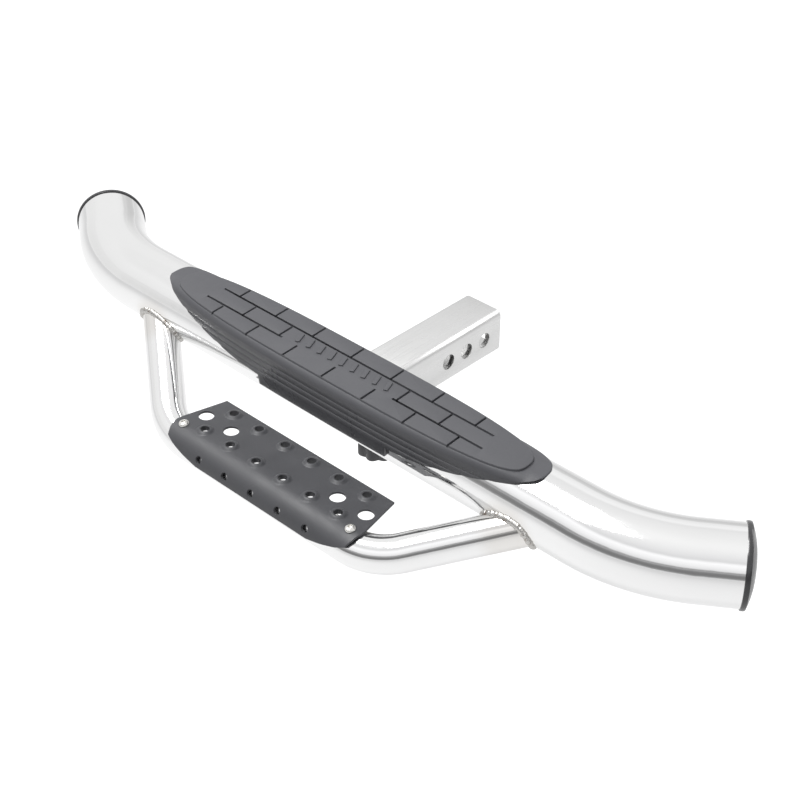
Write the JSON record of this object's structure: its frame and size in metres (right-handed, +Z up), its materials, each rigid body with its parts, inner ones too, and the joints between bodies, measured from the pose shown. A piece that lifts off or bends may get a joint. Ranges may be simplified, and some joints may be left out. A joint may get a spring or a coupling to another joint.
{
  "type": "hitch receiver step",
  "caption": "Bent tube step on a square receiver shank, with a lower drop step, a punched step plate, a tread pad and a knob tightener.",
  "frame": {"origin": "centre of the middle pin hole, on the axis of the square shank", "axes": "+X along the step and along the pin holes, +Y from the step to the vehicle, +Z up"},
  "size_m": [0.9252, 0.342, 0.1461],
  "materials": {
    "polished_tube": "mirror-polished stainless steel",
    "satin_steel": "satin stainless steel",
    "weld": "rippled weld bead, lightly heat-tinted",
    "plate_coat": "fine satin powder coat",
    "fastener": "plain stainless steel",
    "cap_plastic": "black moulded plastic",
    "pad_rubber": "matt moulded rubber, faintly grained",
    "clip_plastic": "black nylon",
    "knob_plastic": "black moulded plastic"
  },
  "bodies": {
    "step": {"main_tube": "polished_tube", "receiver_shank": "satin_steel", "step_tube": "polished_tube", "weld_left": "weld", "weld_right": "weld", "weld_shank": "weld", "step_plate": "plate_coat", "plate_screw_left": "fastener", "plate_screw_right": "fastener", "insert_left": "fastener", "insert_right": "fastener", "end_cap_left": "cap_plastic", "end_cap_right": "cap_plastic", "tread_pad": "pad_rubber", "pad_clip_1": "clip_plastic", "pad_clip_2": "clip_plastic", "pad_clip_3": "clip_plastic", "pad_clip_4": "clip_plastic", "tightener_nut": "fastener"},
    "foot": {"tightener_foot": "fastener"},
    "screw": {"tightener_stud": "fastener", "tightener_knob": "knob_plastic"}
  },
  "joints": [
    {"name": "tightener_travel", "type": "slide", "parent": "step", "child": "foot", "axis": [0, 0, 1], "range_m": [-0.00525, 0.0175]},
    {"name": "knob_turn", "type": "hinge", "parent": "foot", "child": "screw", "pos_m": [0, -0.108, -0.07], "axis": [0, 0, 1], "range_deg": [-1080, 3600]}
  ],
  "couplings": [
    {"joint": "knob_turn", "follows": "tightener_travel", "rad_per_m": 3590.4}
  ]
}
